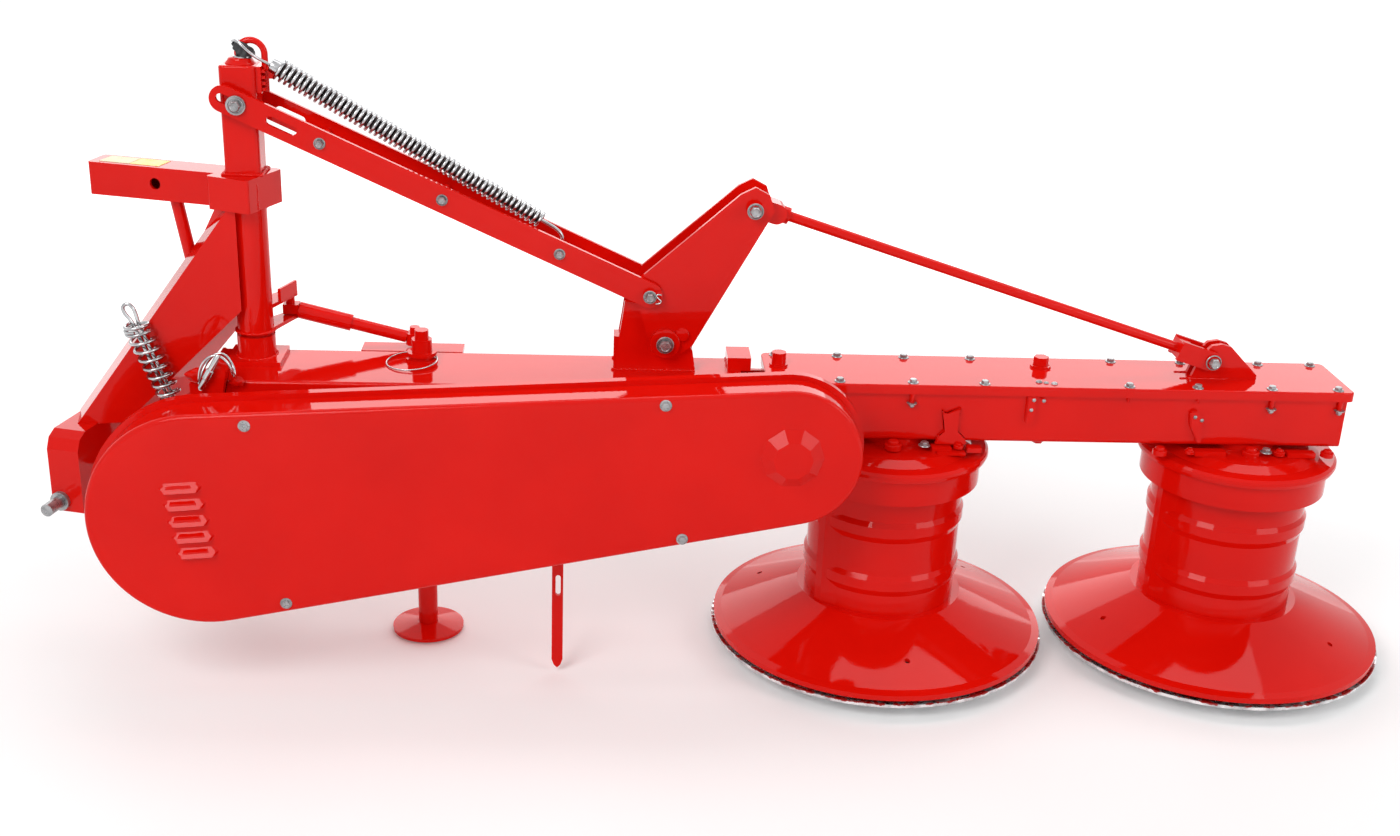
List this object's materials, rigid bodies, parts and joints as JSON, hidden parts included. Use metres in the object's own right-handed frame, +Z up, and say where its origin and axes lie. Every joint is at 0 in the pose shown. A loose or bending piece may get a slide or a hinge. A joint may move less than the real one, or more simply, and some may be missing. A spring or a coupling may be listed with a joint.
{
  "type": "two-drum rotary mower",
  "caption": "Tractor-mounted drum mower: belt-driven cutting drums on a tilting beam, swinging three-point hitch frame and a parking stand.",
  "frame": {"origin": "middle of the machine's box, on the ground", "axes": "+X along the beams from the hitch to the outer drum, +Y forward when cutting, +Z up"},
  "size_m": [2.4436, 0.648, 1.1015],
  "materials": {
    "red_paint": "gloss",
    "steel": "satin",
    "zinc": "bright"
  },
  "bodies": {
    "hitch": {"hitch_sleeve": "red_paint", "top_arm": "red_paint", "hitch_arms": "red_paint", "hitch_bow": "red_paint", "lower_pins": "zinc", "strut_bracket": "red_paint", "hitch_spring": "zinc"},
    "strut_tube": {"strut_tube": "red_paint"},
    "strut_bar": {"strut_bar": "red_paint"},
    "cutter": {"cutter_hub": "red_paint", "cutter_box": "red_paint", "cutter_cover": "red_paint", "oil_plugs": "red_paint", "rod_lugs": "red_paint", "cap_inner": "red_paint", "cap_outer": "red_paint"},
    "rotor_inner": {"drum_inner": "red_paint", "disc_inner": "red_paint", "knives_inner": "steel"},
    "rotor_outer": {"drum_outer": "red_paint", "disc_outer": "red_paint", "knives_outer": "steel"},
    "saucer_inner": {"saucer_inner": "steel"},
    "saucer_outer": {"saucer_outer": "steel"},
    "rocker": {"rocker": "red_paint"},
    "link": {"slotted_link": "red_paint"},
    "rod": {"lift_rod": "red_paint"},
    "stand": {"park_stand": "red_paint"},
    "input": {"input_shaft": "steel"},
    "frame": {"belt_cover": "red_paint", "belt_tray": "red_paint", "guard_brackets": "red_paint", "guard_strap": "red_paint", "hinge_yoke": "red_paint", "inner_beam": "red_paint", "input_housing": "red_paint", "link_pin": "zinc", "post_head": "red_paint", "post_pivot": "red_paint", "relief_spring": "zinc", "rocker_bracket": "red_paint", "stand_guide": "red_paint", "strut_plate": "red_paint", "swing_latch": "red_paint"}
  },
  "joints": [
    {"name": "hitch_swing", "type": "hinge", "parent": "frame", "child": "hitch", "pos_m": [-0.88218, -0.00999, 0.7], "axis": [0, 0, 1], "range_deg": [-75, 0]},
    {"name": "strut_turn", "type": "hinge", "parent": "hitch", "child": "strut_tube", "pos_m": [-0.83418, 0.06401, 0.61], "axis": [0, 0, 1], "range_deg": [0, 105]},
    {"name": "strut_slide", "type": "slide", "parent": "strut_tube", "child": "strut_bar", "axis": [0.9712, 0, -0.2384], "range_m": [-0.03, 0.01]},
    {"name": "cutter_tilt", "type": "hinge", "parent": "frame", "child": "cutter", "pos_m": [0.04682, -0.00999, 0.468], "axis": [0, -1, 0], "range_deg": [-11, 0]},
    {"name": "rocker_turn", "type": "hinge", "parent": "frame", "child": "rocker", "pos_m": [-0.16418, -0.00999, 0.597], "axis": [0, -1, 0], "range_deg": [-13.5, 0]},
    {"name": "link_turn", "type": "hinge", "parent": "rocker", "child": "link", "pos_m": [-0.19318, -0.00999, 0.685], "axis": [0, -1, 0], "range_deg": [0, 14.5]},
    {"name": "rod_turn", "type": "hinge", "parent": "rocker", "child": "rod", "pos_m": [-0.01718, -0.00999, 0.841], "axis": [0, -1, 0], "range_deg": [0, 5.5]},
    {"name": "drum_inner_spin", "type": "hinge", "parent": "cutter", "child": "rotor_inner", "pos_m": [0.25782, -0.00999, 0.24], "axis": [0, 0, 1], "continuous": true},
    {"name": "drum_outer_spin", "type": "hinge", "parent": "cutter", "child": "rotor_outer", "pos_m": [0.90782, -0.00999, 0.24], "axis": [0, 0, 1], "continuous": true},
    {"name": "saucer_inner_spin", "type": "hinge", "parent": "rotor_inner", "child": "saucer_inner", "pos_m": [0.25782, -0.00999, 0.02], "axis": [0, 0, 1], "continuous": true},
    {"name": "saucer_outer_spin", "type": "hinge", "parent": "rotor_outer", "child": "saucer_outer", "pos_m": [0.90782, -0.00999, 0.02], "axis": [0, 0, 1], "continuous": true},
    {"name": "input_spin", "type": "hinge", "parent": "frame", "child": "input", "pos_m": [-0.93718, 0.09001, 0.341], "axis": [0, 1, 0], "continuous": true},
    {"name": "stand_slide", "type": "slide", "parent": "frame", "child": "stand", "axis": [0, 0, 1], "range_m": [0, 0.22]}
  ],
  "couplings": [
    {"joint": "strut_turn", "follows": "hitch_swing", "ratio": -1.384},
    {"joint": "rocker_turn", "follows": "cutter_tilt", "ratio": 1.16},
    {"joint": "link_turn", "follows": "cutter_tilt", "ratio": -1.245},
    {"joint": "rod_turn", "follows": "cutter_tilt", "ratio": -0.45},
    {"joint": "drum_outer_spin", "follows": "drum_inner_spin", "ratio": -1},
    {"joint": "input_spin", "follows": "drum_inner_spin", "ratio": 0.3}
  ]
}
